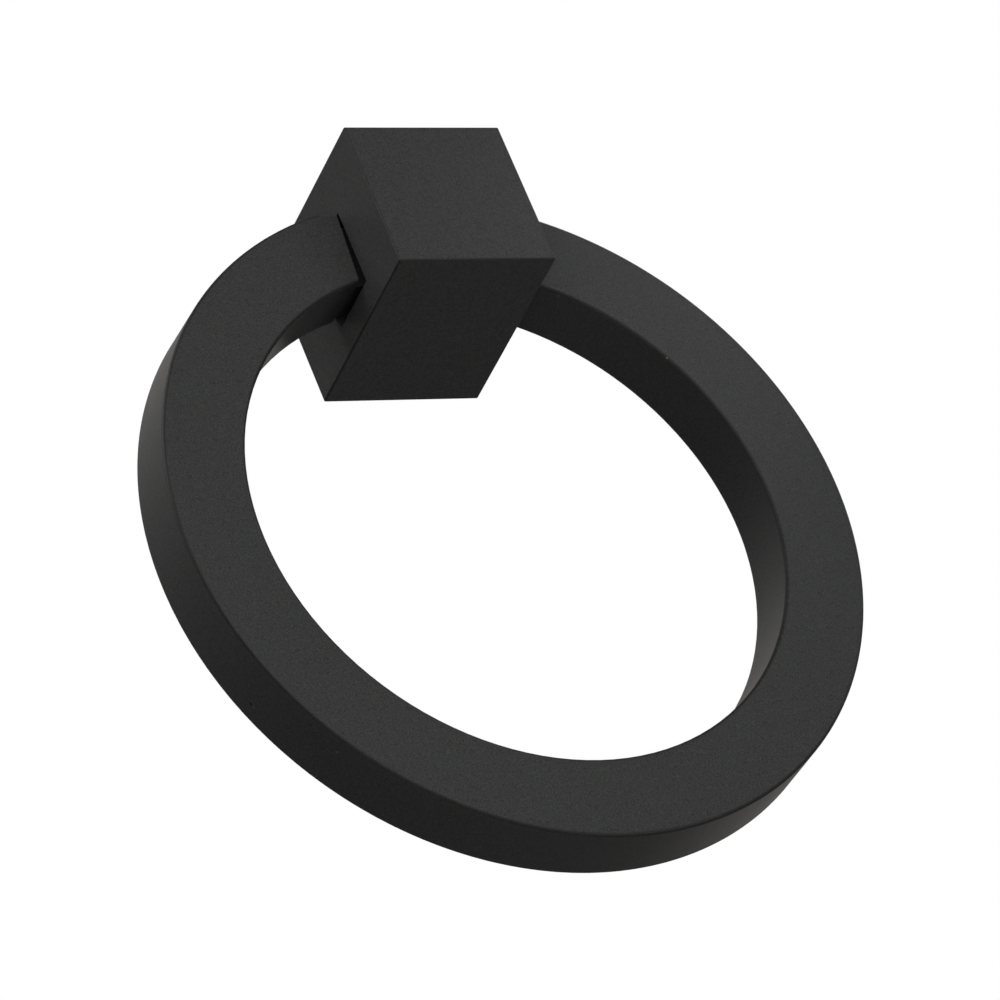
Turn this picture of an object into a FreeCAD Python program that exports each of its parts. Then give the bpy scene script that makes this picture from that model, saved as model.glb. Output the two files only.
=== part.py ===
import FreeCAD, Part
import math
import os

# Ring pull handle for a drawer front: a square post with a slot, and a flat ring that swings in the slot.
# Origin: centre of the post's back face, at the mouth of the screw hole.
# Axes: X across, +Y into the drawer front, +Z up. Lengths in millimetres, angles in degrees.

# Post
POST_WIDTH = 15.0
POST_HEIGHT = 15.0
POST_DEPTH = 18.4
POST_EDGE = 0.15  # radius of the eased outer edges

# Ring
RING_DIAMETER = 63.5
RING_WIDTH = 7.3  # from the bore to the outer edge
RING_THICKNESS = 6.1  # from the front face to the back face
RING_EDGE = 0.3  # radius of the eased edges

# Crown and neck: the neck is the stretch of the ring inside the post, cut back all round like a tenon
CROWN_FLAT = 1.5  # taken off the ring's crown, which leaves a straight top edge
NECK_DROP = 0.75  # from that flat down to the top of the neck
NECK_RELIEF = 0.85  # from the ring's front and back faces in to the neck
NECK_EDGE = 0.3  # radius of the neck's eased long edges
SHOULDER_GAP = 0.25  # between each shoulder and the side of the post
SHOULDER_FLARE = 0.3  # by which each shoulder falls away outwards at the back face

# Slot through the post, around the neck
FRONT_WALL = 5.65  # metal in front of the slot
FLOOR_WALL = 2.65  # metal under the slot
BACK_WALL_LEAN = 16.0  # the back wall leans away upwards, which gives the ring its swing
FRONT_GAP = 0.85  # from the front wall to the neck's upper front edge, at rest
FLOOR_GAP = 0.59  # from the floor to the neck's lower front edge, at rest
BACK_GAP = 0.43  # from the back wall to the neck's lower back edge, at rest
CEILING_GAP = 0.12  # over the neck at the highest point of its swing

# Rest
RIM_GAP = 0.7  # from the ring's lowest rim to the drawer front

# Screw hole in the back of the post, tapped M4
SCREW_HOLE_DIAMETER = 3.3
SCREW_HOLE_WEB = 0.6  # metal between the end of the hole and the slot
SCREW_HOLE_CHAMFER = 0.4

# Places closer together than this are one place
NEAR = 1e-4

# What follows from the sizes above
ring_radius = RING_DIAMETER / 2
bore_radius = ring_radius - RING_WIDTH
crown = ring_radius - CROWN_FLAT
neck_top = crown - NECK_DROP
neck_thickness = RING_THICKNESS - 2 * NECK_RELIEF
neck_half_length = POST_WIDTH / 2 + SHOULDER_GAP
belly = math.sqrt(bore_radius ** 2 - (POST_WIDTH / 2) ** 2)
slot_front = FRONT_WALL - POST_DEPTH
slot_floor = FLOOR_WALL - POST_HEIGHT / 2


def rest_lean():
    """Lean of the ring at rest, in radians. The neck's upper front edge is FRONT_GAP behind the slot's
    front wall, and the lowest rim is RIM_GAP in front of the drawer."""
    along = ring_radius + neck_top
    across = (RING_THICKNESS + neck_thickness) / 2
    reach = -RIM_GAP - slot_front - FRONT_GAP
    return math.asin(reach / math.hypot(along, across)) - math.atan2(across, along)


lean = rest_lean()
swing = lean + math.radians(BACK_WALL_LEAN)
ring_centre_y = slot_front + FRONT_GAP + neck_top * math.sin(lean) + neck_thickness / 2 * math.cos(lean)
ring_centre_z = slot_floor + FLOOR_GAP - belly * math.cos(lean) + neck_thickness / 2 * math.sin(lean)


def section_point(height, forward):
    """Y and Z, at rest, of a point of the ring's section, given by its height above the ring's centre
    and its distance forward of the ring's middle plane."""
    y = ring_centre_y - height * math.sin(lean) - forward * math.cos(lean)
    z = ring_centre_z + height * math.cos(lean) - forward * math.sin(lean)
    return y, z


pivot_y, pivot_z = section_point((neck_top + belly) / 2, 0)


def highest_in_swing(point):
    """The greatest height that a point of the ring reaches while the ring swings outward about the middle
    of its neck, until the neck is parallel to the slot's back wall."""
    radius = math.hypot(point[0] - pivot_y, point[1] - pivot_z)
    start = math.atan2(pivot_y - point[0], point[1] - pivot_z)
    end = start - swing
    nearest_to_upright = min(max(0.0, end), start)
    return pivot_z + radius * math.cos(nearest_to_upright)


upper_front = section_point(neck_top, neck_thickness / 2)
lower_back = section_point(belly, -neck_thickness / 2)
slot_ceiling = highest_in_swing(upper_front) + CEILING_GAP
wall_slope = math.tan(math.radians(BACK_WALL_LEAN))


def slot_back(z):
    """Y of the slot's leaning back wall at a height. It clears the neck's lower back edge by BACK_GAP."""
    clear = BACK_GAP / math.cos(math.radians(BACK_WALL_LEAN))
    return lower_back[0] + clear + (z - lower_back[1]) * wall_slope


def post_block():
    """The square bar of the post, with its edges eased."""
    corner = FreeCAD.Vector(-POST_WIDTH / 2, -POST_DEPTH, -POST_HEIGHT / 2)
    block = Part.makeBox(POST_WIDTH, POST_DEPTH, POST_HEIGHT, corner)
    return block.makeFillet(POST_EDGE, block.Edges)


def slot_cutter():
    """The slot's section, a wedge in the Y-Z plane, run through the post from side to side."""
    x = -POST_WIDTH
    corners = [
        (slot_front, slot_floor),
        (slot_front, slot_ceiling),
        (slot_back(slot_ceiling), slot_ceiling),
        (slot_back(slot_floor), slot_floor),
    ]
    points = [FreeCAD.Vector(x, y, z) for y, z in corners]
    section = Part.Face(Part.makePolygon(points + points[:1]))
    return section.extrude(FreeCAD.Vector(2 * POST_WIDTH, 0, 0))


def screw_hole_cutter():
    """The blind hole for the screw, with a chamfered mouth in the back face."""
    radius = SCREW_HOLE_DIAMETER / 2
    depth = -slot_back(radius) - SCREW_HOLE_WEB
    mouth = FreeCAD.Vector(0, 0, 0)
    inward = FreeCAD.Vector(0, -1, 0)
    hole = Part.makeCylinder(radius, depth, mouth, inward)
    chamfer = Part.makeCone(radius + SCREW_HOLE_CHAMFER, radius, SCREW_HOLE_CHAMFER, mouth, inward)
    print("screw hole: radius %.3f, depth %.3f" % (radius, depth))
    return hole.fuse(chamfer)


def make_post():
    return post_block().cut(slot_cutter()).cut(screw_hole_cutter())


def ring_blank():
    """The ring upright in the X-Z plane about its own centre: a round outline with a flat crown, and a
    round bore."""
    half_flat = math.sqrt(ring_radius ** 2 - crown ** 2)
    front = -RING_THICKNESS / 2
    left = FreeCAD.Vector(-half_flat, front, crown)
    right = FreeCAD.Vector(half_flat, front, crown)
    lowest = FreeCAD.Vector(0, front, -ring_radius)
    round_side = Part.Arc(right, lowest, left).toShape()
    flat_side = Part.LineSegment(left, right).toShape()
    through = FreeCAD.Vector(0, RING_THICKNESS, 0)
    blank = Part.Face(Part.Wire([round_side, flat_side])).extrude(through)
    bore = Part.makeCylinder(bore_radius, RING_THICKNESS, FreeCAD.Vector(0, front, 0), through)
    return blank.cut(bore)


def face_edges(ring):
    """The edges of the ring's front and back faces."""
    found = []
    for edge in ring.Edges:
        flat_on = edge.BoundBox.YLength < NEAR
        depth = abs(edge.CenterOfMass.y)
        if flat_on and abs(depth - RING_THICKNESS / 2) < NEAR:
            found.append(edge)
    return found


def relief_cutter(side, flare):
    """What is milled off one face of the ring over the neck: side is -1 at the front and 1 at the back.
    The cutter widens outwards, by the flare at the ring's face."""
    near = side * neck_thickness / 2
    far = side * RING_THICKNESS
    wide = neck_half_length + flare * (RING_THICKNESS - neck_thickness / 2) / NECK_RELIEF
    corners = [(-neck_half_length, near), (neck_half_length, near), (wide, far), (-wide, far)]
    points = [FreeCAD.Vector(x, y, 0) for x, y in corners]
    section = Part.Face(Part.makePolygon(points + points[:1]))
    return section.extrude(FreeCAD.Vector(0, 0, ring_radius))


def crown_cutter():
    """What is milled off the crown over the neck."""
    corner = FreeCAD.Vector(-neck_half_length, -RING_THICKNESS / 2, neck_top)
    return Part.makeBox(2 * neck_half_length, RING_THICKNESS, ring_radius - neck_top, corner)


def neck_edges(ring):
    """The four long edges of the neck, from shoulder to shoulder."""
    found = []
    for edge in ring.Edges:
        flat_on = edge.BoundBox.YLength < NEAR
        depth = abs(edge.CenterOfMass.y)
        long = edge.BoundBox.XLength > POST_WIDTH
        if flat_on and long and abs(depth - neck_thickness / 2) < NEAR:
            found.append(edge)
    return found


def make_ring():
    ring = ring_blank()
    ring = ring.makeFillet(RING_EDGE, face_edges(ring))
    ring = ring.cut(relief_cutter(-1, 0))
    ring = ring.cut(relief_cutter(1, SHOULDER_FLARE))
    ring = ring.cut(crown_cutter())
    ring = ring.makeFillet(NECK_EDGE, neck_edges(ring))
    ring.rotate(FreeCAD.Vector(0, 0, 0), FreeCAD.Vector(1, 0, 0), math.degrees(lean))
    ring.translate(FreeCAD.Vector(0, ring_centre_y, ring_centre_z))
    return ring


def main():
    os.makedirs("parts", exist_ok=True)
    pieces = {"post": make_post(), "ring": make_ring()}
    print("ring: lean %.3f, centre y %.3f z %.3f" % (math.degrees(lean), ring_centre_y, ring_centre_z))
    print("pivot: y %.3f z %.3f, swing %.2f outward" % (pivot_y, pivot_z, math.degrees(swing)))
    print("slot: y %.3f to %.3f at the floor" % (slot_front, slot_back(slot_floor)))
    print("slot: z %.3f to %.3f" % (slot_floor, slot_ceiling))
    for name, shape in pieces.items():
        shape.exportStep("parts/" + name + ".step")
        box = shape.BoundBox
        solids = len(shape.Solids)
        print("%s: valid %s, solids %d, volume %.1f" % (name, shape.isValid(), solids, shape.Volume))
        print("  y %.3f to %.3f, z %.3f to %.3f" % (box.YMin, box.YMax, box.ZMin, box.ZMax))


main()
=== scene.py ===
# %% [markdown]
# # Ring pull handle for a drawer front
# The handle is two pieces of metal under one black powder coat: a square post, which a screw from inside
# the drawer holds, and a flat ring that rocks in a slot through the post. Both solids come from the packed
# part and are fixed. This script gives them their finish, adds the thread in the screw hole and the smooth
# coat along the ring's edges, and sets up the camera, the lamps and the floor. Lengths are in metres: X
# across, +Y into the drawer front, +Z up.

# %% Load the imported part
import math

import bmesh
import bpy
import numpy as np
from mathutils import Matrix, Vector


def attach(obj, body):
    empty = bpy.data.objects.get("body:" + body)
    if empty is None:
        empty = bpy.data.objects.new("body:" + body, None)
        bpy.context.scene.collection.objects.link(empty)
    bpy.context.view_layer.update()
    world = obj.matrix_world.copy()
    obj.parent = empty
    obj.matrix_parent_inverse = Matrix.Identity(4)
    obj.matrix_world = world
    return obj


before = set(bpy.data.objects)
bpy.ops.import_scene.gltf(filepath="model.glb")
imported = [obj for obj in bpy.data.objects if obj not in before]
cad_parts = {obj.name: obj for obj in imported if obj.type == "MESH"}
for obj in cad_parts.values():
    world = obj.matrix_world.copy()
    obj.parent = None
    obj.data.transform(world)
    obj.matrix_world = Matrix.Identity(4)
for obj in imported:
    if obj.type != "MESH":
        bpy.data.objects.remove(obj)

scene = bpy.context.scene
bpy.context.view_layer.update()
print("nodes:", sorted(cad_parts))

# %% [markdown]
# ## The camera
# The photograph looks up at the handle from the front, the left and below, with a long lens and a small
# roll. A camera could be aimed with a tracking constraint, but that can't roll freely, so its three axes
# are written out: where its right side, its underside and its lens point, in the frame of the part.

# %% Camera
CAMERA_LENS = 232.06  # in millimetres, for a sensor of the width below
SENSOR_WIDTH = 36.0
NEAREST_SEEN = 0.01
FARTHEST_SEEN = 50.0

camera_place = Vector((-0.26308, -0.37594, -0.31736))
camera_right = Vector((0.87232, -0.36286, -0.32770))
camera_down = Vector((-0.02696, 0.63351, -0.77326))
camera_ahead = Vector((0.48819, 0.68337, 0.54285))

camera_data = bpy.data.cameras.new("camera")
camera_data.sensor_width = SENSOR_WIDTH
camera_data.lens = CAMERA_LENS
camera_data.clip_start = NEAREST_SEEN
camera_data.clip_end = FARTHEST_SEEN
camera = bpy.data.objects.new("camera", camera_data)
camera_matrix = Matrix((camera_right, -camera_down, -camera_ahead)).transposed().to_4x4()
camera_matrix.translation = camera_place
camera.matrix_world = camera_matrix
scene.collection.objects.link(camera)
scene.camera = camera
print("camera", round(camera_place.length, 3), "m from the screw hole, lens", CAMERA_LENS, "mm")

# %% [markdown]
# ## The room
# The photograph has a bare white ground and soft light. The world gives the ground: a ray from the camera,
# or one that has passed through something clear, meets plain white. A mirrored ray meets a warm white sheet
# where it leaves past the handle, which puts the sheen on the rounded sides, and it fades to the dim room
# elsewhere, because the black coat stays dark underneath. One plain colour for the whole world would be
# simpler, but it greys every edge of a black object.

# %% World
ROOM_GREY = (0.004, 0.004, 0.004, 1.0)
WHITE = (1.0, 1.0, 1.0, 1.0)
SHEET_WHITE = (1.0, 0.95, 0.89, 1.0)
SHEET_TOWARDS = (0.55, 0.76, 0.35)
SHEET_SHARE = 0.41  # of white, at its middle
SHEET_RIM = 0.3  # cosine of the angle from its middle at which the sheet has faded out


def add_node(tree, kind, **sockets):
    """A node of a kind, with the values of its named input sockets."""
    made = tree.nodes.new(kind)
    for name, value in sockets.items():
        made.inputs[name.replace("_", " ")].default_value = value
    return made


def math_node(tree, operation, first, second=None, clamp=False):
    """A Math node: each input is a number or the socket that feeds it. Returns its output."""
    made = tree.nodes.new("ShaderNodeMath")
    made.operation = operation
    made.use_clamp = clamp
    for index, value in enumerate((first, second)):
        if isinstance(value, bpy.types.NodeSocket):
            tree.links.new(value, made.inputs[index])
        elif value is not None:
            made.inputs[index].default_value = value
    return made.outputs[0]


def soft_step(tree, value, low, high):
    """0 where the value is at low, 1 where it is at high, and an S-shaped ramp between. Low may be the
    larger of the two."""
    made = tree.nodes.new("ShaderNodeMapRange")
    made.interpolation_type = "SMOOTHSTEP"
    tree.links.new(value, made.inputs["Value"])
    made.inputs["From Min"].default_value = low
    made.inputs["From Max"].default_value = high
    return made.outputs["Result"]


def seen_rays(tree):
    """1 for a ray from the camera, or one that has passed through something clear. Nought for others."""
    ray = tree.nodes.new("ShaderNodeLightPath")
    from_camera = ray.outputs["Is Camera Ray"]
    passed_through = ray.outputs["Is Transmission Ray"]
    return math_node(tree, "ADD", from_camera, passed_through, clamp=True)


world = bpy.data.worlds.new("room")
world.use_nodes = True
scene.world = world
tree = world.node_tree
tree.nodes.clear()
direction = tree.nodes.new("ShaderNodeTexCoord")
towards = tree.nodes.new("ShaderNodeVectorMath")
towards.operation = "DOT_PRODUCT"
towards.inputs[1].default_value = SHEET_TOWARDS
tree.links.new(direction.outputs["Generated"], towards.inputs[0])
ray = tree.nodes.new("ShaderNodeLightPath")
reach = math_node(tree, "MULTIPLY", soft_step(tree, towards.outputs["Value"], SHEET_RIM, 1.0), SHEET_SHARE)
sheet = add_node(tree, "ShaderNodeBackground", Color=SHEET_WHITE)
tree.links.new(math_node(tree, "MULTIPLY", ray.outputs["Is Glossy Ray"], reach), sheet.inputs["Strength"])
room = add_node(tree, "ShaderNodeBackground", Color=ROOM_GREY)
room_and_sheet = tree.nodes.new("ShaderNodeAddShader")
tree.links.new(room.outputs[0], room_and_sheet.inputs[0])
tree.links.new(sheet.outputs[0], room_and_sheet.inputs[1])
straight = seen_rays(tree)
ground = add_node(tree, "ShaderNodeBackground", Color=WHITE)
mixed = tree.nodes.new("ShaderNodeMixShader")
tree.links.new(straight, mixed.inputs[0])
tree.links.new(room_and_sheet.outputs[0], mixed.inputs[1])
tree.links.new(ground.outputs[0], mixed.inputs[2])
world_out = tree.nodes.new("ShaderNodeOutputWorld")
tree.links.new(mixed.outputs[0], world_out.inputs["Surface"])
scene.view_settings.view_transform = "Standard"
print("world: room", ROOM_GREY[0], "and a white sheet of", SHEET_SHARE)

# %% [markdown]
# ## The floor
# The handle hangs on a drawer front, so nothing stands on the floor: it lies well below the ring, under the
# lowest lamp, and takes the soft shadow. It is clear from its underside, so that a view from far below
# still shows the handle. Its own paint is a middle grey, which keeps its light off the handle, and the
# camera sees it lifted to a pale white.

# %% Floor
FLOOR_HEIGHT = -0.55
FLOOR_HALF = 2.0
PAINT_DARKEST = 0.39
PAINT_LIGHTEST = 0.41
MOTTLE_CELLS = 6.0  # to the metre
FLOOR_LIFT = 0.90

floor_mesh = bpy.data.meshes.new("floor")
signs = [(-1, -1), (1, -1), (1, 1), (-1, 1)]
corners = [(x * FLOOR_HALF, y * FLOOR_HALF, FLOOR_HEIGHT) for x, y in signs]
floor_mesh.from_pydata(corners, [], [(0, 1, 2, 3)])
floor = bpy.data.objects.new("floor", floor_mesh)
scene.collection.objects.link(floor)

floor_finish = bpy.data.materials.new("floor_paint")
floor_finish.use_nodes = True
tree = floor_finish.node_tree
tree.nodes.clear()
place = tree.nodes.new("ShaderNodeTexCoord")
mottle = add_node(tree, "ShaderNodeTexNoise", Scale=MOTTLE_CELLS, Detail=3.0)
tree.links.new(place.outputs["Object"], mottle.inputs["Vector"])
paint_tone = add_node(tree, "ShaderNodeMapRange", To_Min=PAINT_DARKEST, To_Max=PAINT_LIGHTEST)
tree.links.new(mottle.outputs["Fac"], paint_tone.inputs["Value"])
paint = tree.nodes.new("ShaderNodeBsdfDiffuse")
tree.links.new(paint_tone.outputs["Result"], paint.inputs["Color"])
lift = add_node(tree, "ShaderNodeEmission", Color=WHITE)
tree.links.new(math_node(tree, "MULTIPLY", seen_rays(tree), FLOOR_LIFT), lift.inputs["Strength"])
lifted = tree.nodes.new("ShaderNodeAddShader")
tree.links.new(paint.outputs[0], lifted.inputs[0])
tree.links.new(lift.outputs[0], lifted.inputs[1])
side = tree.nodes.new("ShaderNodeNewGeometry")
clear = tree.nodes.new("ShaderNodeBsdfTransparent")
one_sided = tree.nodes.new("ShaderNodeMixShader")
tree.links.new(side.outputs["Backfacing"], one_sided.inputs[0])
tree.links.new(lifted.outputs[0], one_sided.inputs[1])
tree.links.new(clear.outputs[0], one_sided.inputs[2])
floor_out = tree.nodes.new("ShaderNodeOutputMaterial")
tree.links.new(one_sided.outputs[0], floor_out.inputs["Surface"])
floor_mesh.materials.append(floor_finish)
print("floor at", FLOOR_HEIGHT, "m,", 2 * FLOOR_HALF, "m wide")

# %% [markdown]
# ## The lamps
# Flat black metal shows its lamps more than its colour. Each face of the post looks at another part of the
# room, so the lamps are large soft squares, each placed for one face, and a smaller one beside the lens
# fills the corners. A lamp's brightness is written as the brightness of its square, where 1 is white paper,
# and the power follows from its area. Two lamps light the sides that the photograph doesn't show. They have
# a grid, which keeps their light off the floor, and no reflection, because the sheet gives it. The
# photograph has one brighter patch, at the upper right of the ring: a small spot lamp gives it.

# %% Lamps
LAMP_AIM = Vector((0.0, -0.01, -0.03))
# each lamp's direction from the handle, its distance, its side and its brightness
LAMPS = {
    "left_high": ((-0.62, -0.10, 0.78), 0.90, 0.70, 3.45),
    "front_left": ((-0.50, -0.87, 0.10), 0.90, 0.80, 1.62),
    "front": ((0.00, -1.00, 0.10), 0.90, 0.50, 2.42),
    "front_right_high": ((0.49, -0.68, 0.54), 0.90, 0.70, 0.32),
    "beside_the_lens": ((-0.49, -0.68, -0.54), 0.62, 0.34, 1.28),
    "low_right": ((0.50, -0.60, -0.60), 0.60, 0.33, 2.20),
    "high_behind": ((-0.10, 0.68, 0.72), 0.90, 0.60, 0.22),
    "behind": ((0.15, 0.95, 0.30), 0.90, 0.70, 0.90),
    "right": ((1.00, 0.10, 0.30), 0.90, 0.60, 0.80),
}
LAMPS_WITH_A_GRID = ("behind", "right")
GRID_SPREAD = math.radians(60)
SPOT_TOWARDS = (0.49, -0.68, 0.54)
SPOT_AIM = Vector((0.0221, -0.0116, -0.0103))
SPOT_DISTANCE = 0.9
SPOT_REACH = 0.019  # radius of the patch
SPOT_SIZE = 0.02  # radius of the lamp itself, which softens its shadow
SPOT_WATTS = 5.2


def add_lamp(name, towards, distance, side, brightness):
    """A square lamp that faces the handle. Its watts are pi times its brightness times its area."""
    data = bpy.data.lights.new(name, "AREA")
    data.shape = "SQUARE"
    data.size = side
    data.energy = math.pi * brightness * side ** 2
    lamp = bpy.data.objects.new(name, data)
    away = Vector(towards).normalized()
    lamp.location = LAMP_AIM + distance * away
    lamp.rotation_euler = away.to_track_quat("Z", "Y").to_euler()
    lamp.visible_camera = False
    scene.collection.objects.link(lamp)
    print("lamp", name, round(data.energy, 2), "W")


for name, (towards, distance, side, brightness) in LAMPS.items():
    add_lamp(name, towards, distance, side, brightness)
for name in LAMPS_WITH_A_GRID:
    bpy.data.lights[name].spread = GRID_SPREAD
    bpy.data.objects[name].visible_glossy = False

spot_data = bpy.data.lights.new("spot", "SPOT")
spot_data.energy = SPOT_WATTS
spot_data.spot_size = 2 * math.atan(SPOT_REACH / SPOT_DISTANCE)
spot_data.spot_blend = 1.0
spot_data.shadow_soft_size = SPOT_SIZE
spot = bpy.data.objects.new("spot", spot_data)
away = Vector(SPOT_TOWARDS).normalized()
spot.location = SPOT_AIM + SPOT_DISTANCE * away
spot.rotation_euler = away.to_track_quat("Z", "Y").to_euler()
scene.collection.objects.link(spot)
print("spot", round(math.degrees(spot_data.spot_size), 2), "degrees")

# %% [markdown]
# ## The powder coat
# Powder coat is sprayed on as dust and melted to a skin. Close up it is a very fine orange peel with
# grains about a tenth of a millimetre wide, a shade lighter and darker and a little redder or bluer, under
# a satin gloss. The grain could be a picture, but a noise read from the object's own coordinates has no
# seam and no end. It is one node group, so that the post, the ring and the thread share it.

# %% Node group: coat_grain
BLACK_TONE = 0.040
GREEN_SHARE = 1.015
GRAIN_STRENGTH = 1.9
SATIN = 0.4  # roughness
GRAIN_CELLS = 9000.0  # to the metre, as for the other cells
DUST_CELLS = 7500.0
SOOT_CELLS = 8200.0
CLOUD_CELLS = 55.0
PEEL_CELLS = 1300.0
GREY_WEIGHT = 1.5  # of the grey grain, against 1 for the coloured dust or soot
CLOUD_SWING = 0.06
PEEL_SWING = 0.10
PEEL_HEIGHT = 4.0e-6


def new_group(name, inputs, outputs):
    """An empty node group with named sockets. Inputs are (name, kind, value) and outputs (name, kind)."""
    group = bpy.data.node_groups.new(name, "ShaderNodeTree")
    for socket, kind, value in inputs:
        made = group.interface.new_socket(name=socket, in_out="INPUT", socket_type="NodeSocket" + kind)
        if value is not None:
            made.default_value = value
    for socket, kind in outputs:
        group.interface.new_socket(name=socket, in_out="OUTPUT", socket_type="NodeSocket" + kind)
    return group, group.nodes.new("NodeGroupInput"), group.nodes.new("NodeGroupOutput")


def noise(tree, place, scale, detail):
    """Noise from 0 to 1 about 0.5, with so many cells to the metre."""
    made = add_node(tree, "ShaderNodeTexNoise", Scale=scale, Detail=detail, Roughness=0.55)
    tree.links.new(place, made.inputs["Vector"])
    return made.outputs["Fac"]


def swing_about_one(tree, value, amount):
    """1 + amount * (2 * value - 1), for a value from 0 to 1."""
    return math_node(tree, "ADD", math_node(tree, "MULTIPLY", value, 2 * amount), 1 - amount)


grain_group, given, result = new_group(
    "coat_grain",
    [("Place", "Vector", None), ("Tone", "Float", BLACK_TONE)],
    [("Color", "Color"), ("Roughness", "Float"), ("Height", "Float")],
)
grain = noise(grain_group, given.outputs["Place"], GRAIN_CELLS, 1.0)
dust = noise(grain_group, given.outputs["Place"], DUST_CELLS, 1.0)
soot = noise(grain_group, given.outputs["Place"], SOOT_CELLS, 1.0)
cloud = noise(grain_group, given.outputs["Place"], CLOUD_CELLS, 2.0)
cloudy = swing_about_one(grain_group, cloud, CLOUD_SWING)
toned = math_node(grain_group, "MULTIPLY", given.outputs["Tone"], cloudy)
tint = grain_group.nodes.new("ShaderNodeCombineColor")
channels = [("Red", 1.0, dust), ("Green", GREEN_SHARE, grain), ("Blue", 1.0, soot)]
for channel, share, speckle in channels:
    both = math_node(grain_group, "ADD", math_node(grain_group, "MULTIPLY", grain, GREY_WEIGHT), speckle)
    mean = math_node(grain_group, "DIVIDE", both, GREY_WEIGHT + 1)
    fine = math_node(grain_group, "MULTIPLY", math_node(grain_group, "SUBTRACT", mean, 0.5), GRAIN_STRENGTH)
    level = math_node(grain_group, "MULTIPLY", math_node(grain_group, "ADD", fine, 1.0), share)
    grain_group.links.new(math_node(grain_group, "MULTIPLY", toned, level), tint.inputs[channel])
grain_group.links.new(tint.outputs[0], result.inputs["Color"])
peel = noise(grain_group, given.outputs["Place"], PEEL_CELLS, 2.0)
satin = math_node(grain_group, "MULTIPLY", swing_about_one(grain_group, peel, PEEL_SWING), SATIN)
grain_group.links.new(satin, result.inputs["Roughness"])
rise = math_node(grain_group, "MULTIPLY", math_node(grain_group, "ADD", grain, peel), PEEL_HEIGHT)
grain_group.links.new(rise, result.inputs["Height"])
print("group", grain_group.name, len(grain_group.nodes), "nodes")

# %% [markdown]
# ## Painted shade at the edges, and the flaws
# Each edge shows as a fine dark line, which is painted shade laid into the coat's colour along the rounded
# edges. The line could be painted on the mesh, but the distance to the edge is simple arithmetic on a ring
# and on a box, and it stays as sharp as the real one at any size. The ring's neck, in the slot, is painted
# darker as well: painted shade in the recess, which shows as a dark line beside each shoulder.

# %% Node group: coat_spot
SPOT_FADED = 1.2  # of the spot's radius, as is the next
SPOT_FULL = 0.7

spot_group, given, result = new_group(
    "coat_spot",
    [("Place", "Vector", None), ("Spot", "Vector", None), ("Radius", "Float", 0.0001)],
    [("Mask", "Float")],
)
apart = spot_group.nodes.new("ShaderNodeVectorMath")
apart.operation = "DISTANCE"
spot_group.links.new(given.outputs["Place"], apart.inputs[0])
spot_group.links.new(given.outputs["Spot"], apart.inputs[1])
share = math_node(spot_group, "DIVIDE", apart.outputs["Value"], given.outputs["Radius"])
spot_group.links.new(soft_step(spot_group, share, SPOT_FADED, SPOT_FULL), result.inputs["Mask"])
print("group", spot_group.name, len(spot_group.nodes), "nodes")

# %% Distances to an edge
RING_LEAN = math.radians(5.598)
RING_CENTRE = Vector((0.0, -0.006833, -0.027206))
RING_MIDDLE_RADIUS = 0.02810
RING_HALF_WIDTH = 0.00365
RING_HALF_THICKNESS = 0.00305
POST_HALF = (0.0075, 0.0092, 0.0075)
POST_MIDDLE = (0.0, -0.0092, 0.0)


def split(tree, vector):
    """The three parts of a vector, without their signs."""
    made = tree.nodes.new("ShaderNodeSeparateXYZ")
    tree.links.new(vector, made.inputs[0])
    return [math_node(tree, "ABSOLUTE", made.outputs[i]) for i in range(3)]


def ring_edge_distance(tree, place):
    """The larger of two depths: under the nearer round side, and under the nearer flat face. On the skin
    one of them is nought, so this is the distance along the skin to the nearest edge."""
    turned = tree.nodes.new("ShaderNodeMapping")
    upright = Matrix.Rotation(-RING_LEAN, 3, "X")
    turned.inputs["Rotation"].default_value = (-RING_LEAN, 0.0, 0.0)
    turned.inputs["Location"].default_value = -(upright @ RING_CENTRE)
    tree.links.new(place, turned.inputs["Vector"])
    across, deep, up = split(tree, turned.outputs[0])
    across_squared = math_node(tree, "POWER", across, 2.0)
    up_squared = math_node(tree, "POWER", up, 2.0)
    radius = math_node(tree, "SQRT", math_node(tree, "ADD", across_squared, up_squared))
    from_middle = math_node(tree, "SUBTRACT", radius, RING_MIDDLE_RADIUS)
    under_side = math_node(tree, "SUBTRACT", RING_HALF_WIDTH, math_node(tree, "ABSOLUTE", from_middle))
    under_face = math_node(tree, "SUBTRACT", RING_HALF_THICKNESS, deep)
    return math_node(tree, "MAXIMUM", under_side, under_face)


def post_edge_distance(tree, place):
    """The middle one of the depths under the three pairs of faces: the smallest is nought on the skin."""
    centred = tree.nodes.new("ShaderNodeVectorMath")
    centred.operation = "SUBTRACT"
    centred.inputs[1].default_value = POST_MIDDLE
    tree.links.new(place, centred.inputs[0])
    parts = split(tree, centred.outputs[0])
    depths = [math_node(tree, "SUBTRACT", half, part) for half, part in zip(POST_HALF, parts)]
    low = math_node(tree, "MINIMUM", depths[0], depths[1])
    high = math_node(tree, "MAXIMUM", depths[0], depths[1])
    return math_node(tree, "MAXIMUM", low, math_node(tree, "MINIMUM", high, depths[2]))


print("edges of a ring that leans", round(math.degrees(RING_LEAN), 3), "degrees and of a post", POST_HALF)

# %% Mask of the painted shade on the neck
# The neck inside the slot is darkened: painted shade in the recess.
NECK_HALF_LENGTH = 0.0077
NECK_FADE = 0.0001
UNDER_THE_SLOT = -0.012  # a height between the neck and the ring's lower part
NECK_SHADE_SHARE = 0.6  # of the dark tone


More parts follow.
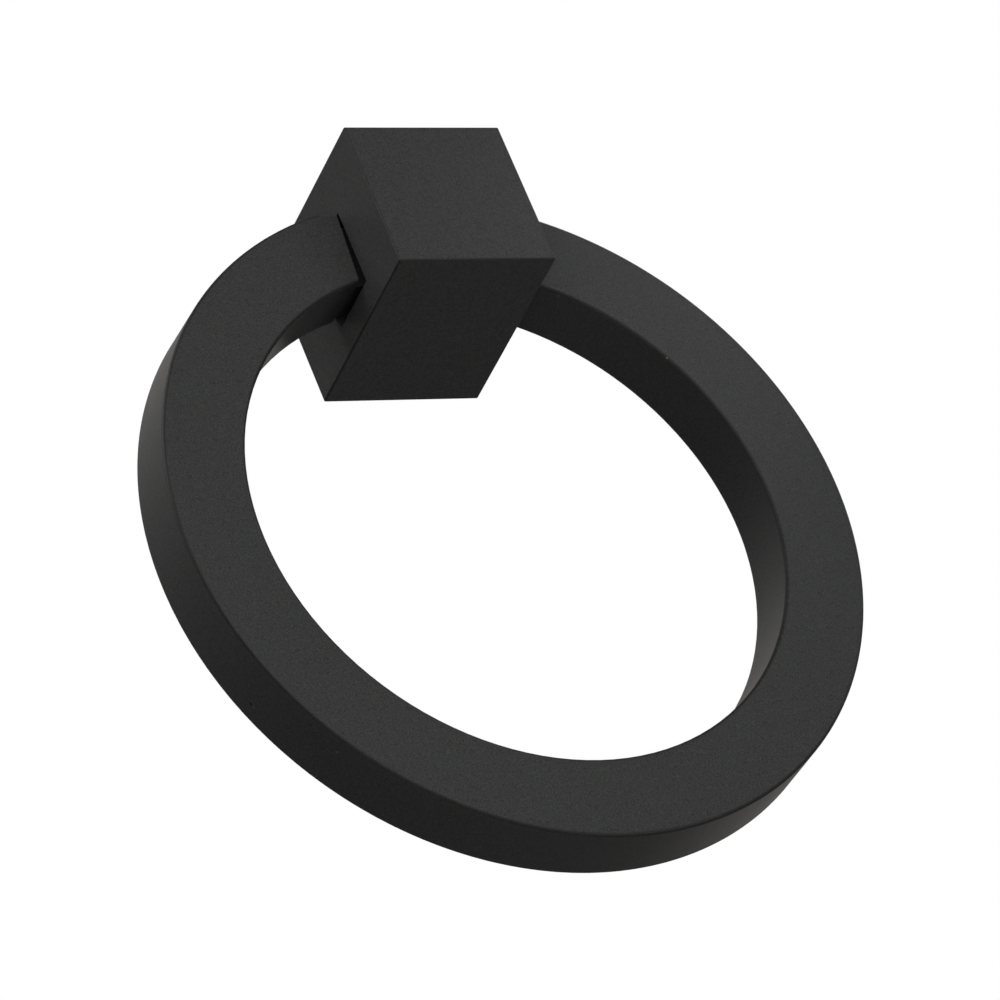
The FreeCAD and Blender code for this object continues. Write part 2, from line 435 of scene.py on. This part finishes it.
def neck_shade_mask(tree, place):
    """Where painted shade darkens the neck: 1 on the neck, between the ring's shoulders, and nought on the
    rest of the ring.
    """
    made = tree.nodes.new("ShaderNodeSeparateXYZ")
    tree.links.new(place, made.inputs[0])
    across = math_node(tree, "ABSOLUTE", made.outputs["X"])
    between = soft_step(tree, across, NECK_HALF_LENGTH + NECK_FADE, NECK_HALF_LENGTH)
    above = math_node(tree, "GREATER_THAN", made.outputs["Z"], UNDER_THE_SLOT)
    return math_node(tree, "MULTIPLY", between, above)


# the neck's colour is darkened with painted shade within this distance of its middle
print("thin coat up to", NECK_HALF_LENGTH, "m from the middle of the neck")

# %% Material: black_coat, for each piece
COAT_GLOSS = 0.12
EDGE_FADED = 1.5  # of the edge line's width, as is the next
EDGE_FULL = 0.4
PIT_DEPTH = 4.0e-5
# tone of the painted shade: the dark line at the edges and the darker neck
PAINTED_SHADE_TONE = (0.010, 0.010, 0.010, 1.0)
# tone of the light specks, also used for the painted highlight on a pit's rim
SPECK_AND_HIGHLIGHT_TONE = (0.085, 0.085, 0.08, 1.0)
# the pits' darker tone is painted shade in the hollow
PIT_SHADE_TONE = (0.022, 0.022, 0.022, 1.0)


def colour_over(tree, below, above, share):
    """The colour above laid over the one below, by a share that is a socket."""
    made = tree.nodes.new("ShaderNodeMix")
    made.data_type = "RGBA"
    tree.links.new(share, made.inputs["Factor"])
    tree.links.new(below, made.inputs["A"])
    made.inputs["B"].default_value = above
    return made.outputs["Result"]


def spot_mask(tree, place, spot, radius):
    """1 inside a small ball about a spot and nought outside it."""
    made = tree.nodes.new("ShaderNodeGroup")
    made.node_tree = spot_group
    made.inputs["Spot"].default_value = spot
    made.inputs["Radius"].default_value = radius
    tree.links.new(place, made.inputs["Place"])
    return made.outputs["Mask"]


def coat_material(name, edge=None, painted_shade=None, specks=(), pits=()):
    """The black powder coat with its grain, light specks and pits, and painted shade: a dark line along the
    edges, a darker place given by a mask, and the pits' darker tone. The edge is given by the function for
    the distance to it, the line's width and its share of dark tone."""
    finish = bpy.data.materials.new(name)
    finish.use_nodes = True
    tree = finish.node_tree
    shader = tree.nodes["Principled BSDF"]
    shader.inputs["Specular IOR Level"].default_value = COAT_GLOSS
    place = tree.nodes.new("ShaderNodeTexCoord").outputs["Object"]
    coat = tree.nodes.new("ShaderNodeGroup")
    coat.node_tree = grain_group
    coat.inputs["Tone"].default_value = BLACK_TONE
    tree.links.new(place, coat.inputs["Place"])
    colour = coat.outputs["Color"]
    height = coat.outputs["Height"]
    # painted shade: a dark line along the edges
    if edge:
        edge_distance, width, share = edge
        near = soft_step(tree, edge_distance(tree, place), EDGE_FADED * width, EDGE_FULL * width)
        colour = colour_over(tree, colour, PAINTED_SHADE_TONE, math_node(tree, "MULTIPLY", near, share))
    # painted shade on the neck, in the slot
    if painted_shade:
        neck_shade_share = math_node(tree, "MULTIPLY", painted_shade(tree, place), NECK_SHADE_SHARE)
        colour = colour_over(tree, colour, PAINTED_SHADE_TONE, neck_shade_share)
    # light specks; one of them is a painted highlight on a pit's rim
    for spot, radius in specks:
        colour = colour_over(tree, colour, SPECK_AND_HIGHLIGHT_TONE, spot_mask(tree, place, spot, radius))
    # a pit: a dent in the bump, darkened with painted shade
    for spot, radius in pits:
        hollow = spot_mask(tree, place, spot, radius)
        colour = colour_over(tree, colour, PIT_SHADE_TONE, hollow)
        height = math_node(tree, "SUBTRACT", height, math_node(tree, "MULTIPLY", hollow, PIT_DEPTH))
    bump = tree.nodes.new("ShaderNodeBump")
    bump.inputs["Strength"].default_value = 1.0
    bump.inputs["Distance"].default_value = 1.0
    tree.links.new(height, bump.inputs["Height"])
    tree.links.new(colour, shader.inputs["Base Color"])
    tree.links.new(coat.outputs["Roughness"], shader.inputs["Roughness"])
    tree.links.new(bump.outputs[0], shader.inputs["Normal"])
    print("material", name, len(tree.nodes), "nodes")
    return finish


# %% [markdown]
# ## The coat on the post and on the ring
# Both solids keep their imported shape and only get a finish. Dust that settles in the wet skin leaves a few
# light specks, and a bubble that breaks leaves a pit: there are five specks and one pit in sight. The pit is
# dented in the bump, and its darker tone is painted shade in the hollow. One of the specks, on the pit's
# raised rim, is a painted highlight.

# %% Coat the solids
# each speck's and pit's place on the skin, and its radius; the last speck, on the pit's rim, is a painted
# highlight
RING_SPECKS_AND_HIGHLIGHT = [
    ((-0.02330, -0.00611, -0.04879), 0.00010),
    ((0.01119, -0.01160, -0.00584), 0.00010),
    ((0.01949, -0.01124, -0.01268), 0.00010),
    ((-0.01244, -0.01094, -0.00646), 0.00009),
    ((-0.02777, -0.00402, -0.04240), 0.00009),
]
RING_PITS = [((-0.02793, -0.00405, -0.04209), 0.00019)]
# painted shade at each edge: the function for the distance to it, the line's width and its share of dark tone
POST_EDGE_SHADE = (post_edge_distance, 0.00014, 0.62)
RING_EDGE_SHADE = (ring_edge_distance, 0.00024, 0.75)

coats = {
    "post": coat_material("black_coat_post", POST_EDGE_SHADE),
    "ring": coat_material("black_coat_ring", RING_EDGE_SHADE, neck_shade_mask, RING_SPECKS_AND_HIGHLIGHT, RING_PITS),
}
for node_name, finish in coats.items():
    solid = bpy.data.objects[node_name]
    for slot in solid.material_slots:
        slot.material = finish
    print("coated", node_name, len(solid.material_slots), "slots,", len(solid.data.polygons), "faces")

# %% [markdown]
# ## The thread
# The screw from inside the drawer holds in a metric thread, cut into the blind hole in the post's back. It
# could be a pattern on the wall of the hole, but a real ridge catches the light as a thread does. A
# screw-shaped ridge is a small profile carried along a helix.

# %% Thread
THREAD_PITCH = 0.0007
THREAD_WALL = 0.00165  # radius of the hole
THREAD_RISE = 0.00022
THREAD_SUNK = 0.00004  # from the wall into the metal, where the ridge has its foot
HALF_FOOT = 0.42  # of the pitch, as is the next
HALF_CREST = 0.07
THREAD_START = 0.0006
THREAD_END = 0.0040
THREAD_STEPS = 72  # to one turn


def screw_ridge():
    """A ridge on the wall of a hole along Y. Its middle starts at the start depth and sinks by one pitch
    in each turn. Its profile is a low trapezium, foot on the wall and crest towards the axis. The crest
    rises from nought over the first half turn and falls again over the last. Rows run along the helix
    and columns round the profile."""
    turns = (THREAD_END - THREAD_START) / THREAD_PITCH
    angle = np.linspace(0.0, 2 * math.pi * turns, int(turns * THREAD_STEPS) + 1)[:, None]
    ramp = np.clip(np.minimum(angle, angle[-1] - angle) / math.pi, 0.0, 1.0)
    ramp = ramp * ramp * (3 - 2 * ramp)
    along = THREAD_PITCH * np.array([-HALF_FOOT, -HALF_CREST, HALF_CREST, HALF_FOOT])[None, :]
    crest = np.array([0.0, 1.0, 1.0, 0.0])[None, :]
    radius = THREAD_WALL + THREAD_SUNK - crest * ramp * (THREAD_RISE + THREAD_SUNK)
    depth = THREAD_START + THREAD_PITCH * angle / (2 * math.pi) + along
    return np.stack([radius * np.cos(angle), -depth, radius * np.sin(angle)], axis=-1)


def tube_mesh(name, tubes):
    """A mesh of closed tubes. Each tube is a grid of points: its rows are joined along, its columns are
    joined round, and a face closes each end. The faces are turned outwards."""
    points = []
    faces = []
    for tube in tubes:
        rows, columns = tube.shape[:2]
        index = len(points) + np.arange(rows * columns).reshape(rows, columns)
        ahead = np.roll(index, -1, axis=1)
        quads = np.stack([index[:-1], ahead[:-1], ahead[1:], index[1:]], axis=-1)
        faces += quads.reshape(-1, 4).tolist() + index[[0, -1]].tolist()
        points += tube.reshape(-1, 3).tolist()
    mesh = bpy.data.meshes.new(name)
    mesh.from_pydata(points, [], faces)
    skin = bmesh.new()
    skin.from_mesh(mesh)
    bmesh.ops.recalc_face_normals(skin, faces=skin.faces)
    print(name, len(faces), "faces, volume", round(skin.calc_volume() * 1e9, 3), "mm3")
    skin.to_mesh(mesh)
    skin.free()
    return mesh


def add_piece(name, mesh, finish, body):
    """A new piece in the coat's finish, which rides on a body."""
    mesh.materials.append(finish)
    piece = bpy.data.objects.new(name, mesh)
    scene.collection.objects.link(piece)
    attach(piece, body)


thread_mesh = tube_mesh("screw_thread", [screw_ridge()])
add_piece("screw_thread", thread_mesh, coat_material("black_coat_thread"), "post")

# %% [markdown]
# ## The coat along the ring's edges
# The ring's four long edges are rounded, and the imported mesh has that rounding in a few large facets, which
# step along the outline. The coat covers them: one bead on each edge, on the true quarter round, sunk into
# the metal. Replacing the whole ring would do it too, but its shape is right and it stays.

# %% Edge beads
OUTER_RADIUS = RING_MIDDLE_RADIUS + RING_HALF_WIDTH
BORE_RADIUS = RING_MIDDLE_RADIUS - RING_HALF_WIDTH
ROUNDING = 0.0003  # radius of the eased edges
BEAD_SUNK = 0.00015  # from the rounding into the metal, where the bead has its foot
BEAD_UNDER = 0.000004  # below the true rounding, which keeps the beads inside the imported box
CROWN_HEIGHT = 0.03025  # of the flat on the crown, above the ring's centre
SHOULDER = 0.0078  # from the middle of the neck to each shoulder, at the front
BACK_SHOULDER = 0.0082
BEAD_STEPS = 720
ROUNDING_STEPS = 12
SHARP_FROM = math.radians(40)


def edge_bead(radius, side, end):
    """A bead on one edge of the ring: radius is that of its round side, side is 1 at the front and -1 at
    the back, and end is the bead's last angle from the crown. Its profile is a quarter round, and its rows
    go round the ring. The ring's own frame is upright, so the rows are leant back at the end."""
    outward = 1 if radius > RING_MIDDLE_RADIUS else -1
    skin = np.linspace(0.0, math.pi / 2, ROUNDING_STEPS + 1)
    foot = np.array([math.pi / 2, math.pi / 4, 0.0])
    turn = np.concatenate([skin, foot])
    arc = ROUNDING - np.repeat([BEAD_UNDER, BEAD_SUNK], [len(skin), len(foot)])
    reach = radius + outward * (arc * np.cos(turn) - ROUNDING)
    forward = side * (RING_HALF_THICKNESS - ROUNDING + arc * np.sin(turn))
    around = np.linspace(end, 2 * math.pi - end, BEAD_STEPS)[:, None]
    deep = np.tile(-forward, (BEAD_STEPS, 1))
    upright = np.stack([reach * np.sin(around), deep, reach * np.cos(around)], axis=-1)
    lean = np.array(Matrix.Rotation(RING_LEAN, 3, "X"))
    return upright @ lean.T + np.array(RING_CENTRE)


outer_end = math.acos(CROWN_HEIGHT / OUTER_RADIUS)
beads = [
    edge_bead(OUTER_RADIUS, 1, outer_end),
    edge_bead(OUTER_RADIUS, -1, outer_end),
    edge_bead(BORE_RADIUS, 1, math.asin(SHOULDER / BORE_RADIUS)),
    edge_bead(BORE_RADIUS, -1, math.asin(BACK_SHOULDER / BORE_RADIUS)),
]
bead_mesh = tube_mesh("ring_edge_coat", beads)
bead_mesh.shade_smooth()
bead_mesh.set_sharp_from_angle(angle=SHARP_FROM)
add_piece("ring_edge_coat", bead_mesh, coats["ring"], "ring")
